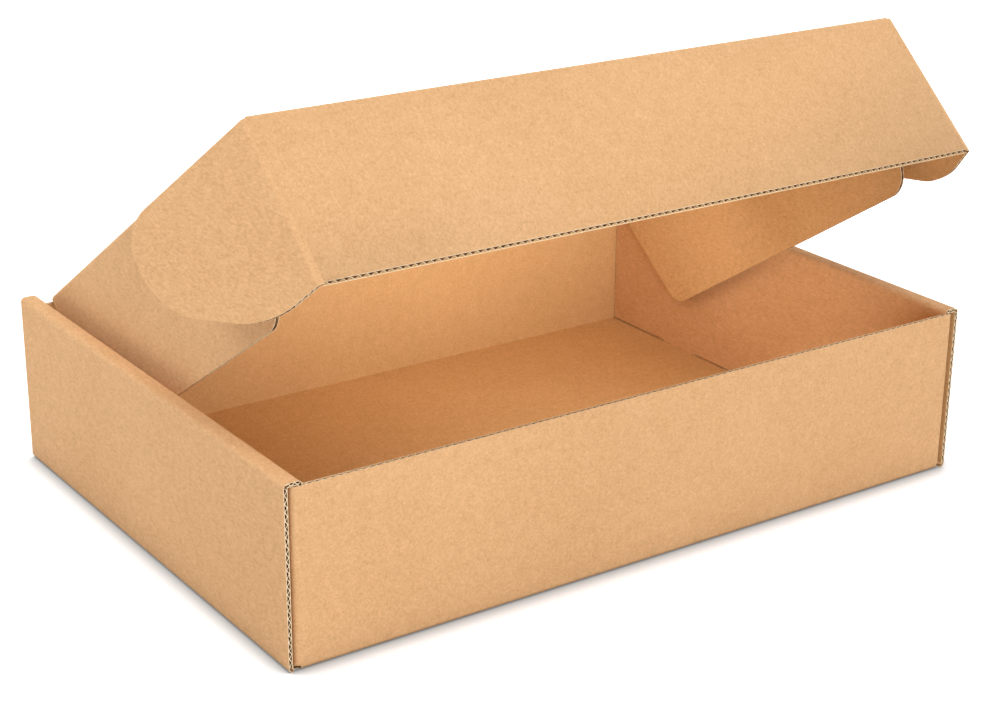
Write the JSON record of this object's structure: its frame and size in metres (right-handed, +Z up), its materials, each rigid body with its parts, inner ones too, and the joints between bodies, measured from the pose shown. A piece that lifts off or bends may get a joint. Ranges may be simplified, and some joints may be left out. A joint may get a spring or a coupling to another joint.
{
  "type": "corrugated mailer box",
  "caption": "One-piece die-cut corrugated mailer box with rolled side walls, shown half open: hinged lid with dust flaps, front tuck panel and curved locking ears.",
  "frame": {"origin": "middle of the tray's footprint, on the surface that it stands on", "axes": "+Z up, -Y towards the front wall and the lid's opening side, +Y towards the lid's crease, +X to the right seen from the front"},
  "size_m": [0.3505, 0.2401, 0.1942],
  "materials": {
    "kraft_board": "matte uncoated kraft"
  },
  "bodies": {
    "tray": {"tray": "kraft_board"},
    "lid": {"lid": "kraft_board"},
    "front_panel": {"front_panel": "kraft_board"},
    "dust_flap_left": {"dust_flap_left": "kraft_board"},
    "dust_flap_right": {"dust_flap_right": "kraft_board"},
    "ear_left": {"ear_left": "kraft_board"},
    "ear_right": {"ear_right": "kraft_board"}
  },
  "joints": [
    {"name": "lid_hinge", "type": "hinge", "parent": "tray", "child": "lid", "pos_m": [0, 0.1147, 0.0715], "axis": [-1, 0, 0], "range_deg": [-12, 147]},
    {"name": "front_panel_fold", "type": "hinge", "parent": "lid", "child": "front_panel", "pos_m": [0, -0.07299, 0.19339], "axis": [-1, 0, 0], "range_deg": [-15, 75]},
    {"name": "ear_left_fold", "type": "hinge", "parent": "front_panel", "child": "ear_left", "pos_m": [-0.1532, -0.07299, 0.19339], "axis": [0, 0.7431, 0.6691], "range_deg": [-24, 65]},
    {"name": "ear_right_fold", "type": "hinge", "parent": "front_panel", "child": "ear_right", "pos_m": [0.1532, -0.07299, 0.19339], "axis": [0, -0.7431, -0.6691], "range_deg": [-11, 78]},
    {"name": "dust_flap_left_fold", "type": "hinge", "parent": "lid", "child": "dust_flap_left", "pos_m": [-0.1503, 0.11426, 0.07083], "axis": [0, -0.8387, 0.5446], "range_deg": [0, 85]},
    {"name": "dust_flap_right_fold", "type": "hinge", "parent": "lid", "child": "dust_flap_right", "pos_m": [0.1503, 0.11426, 0.07083], "axis": [0, 0.8387, -0.5446], "range_deg": [0, 85]}
  ]
}
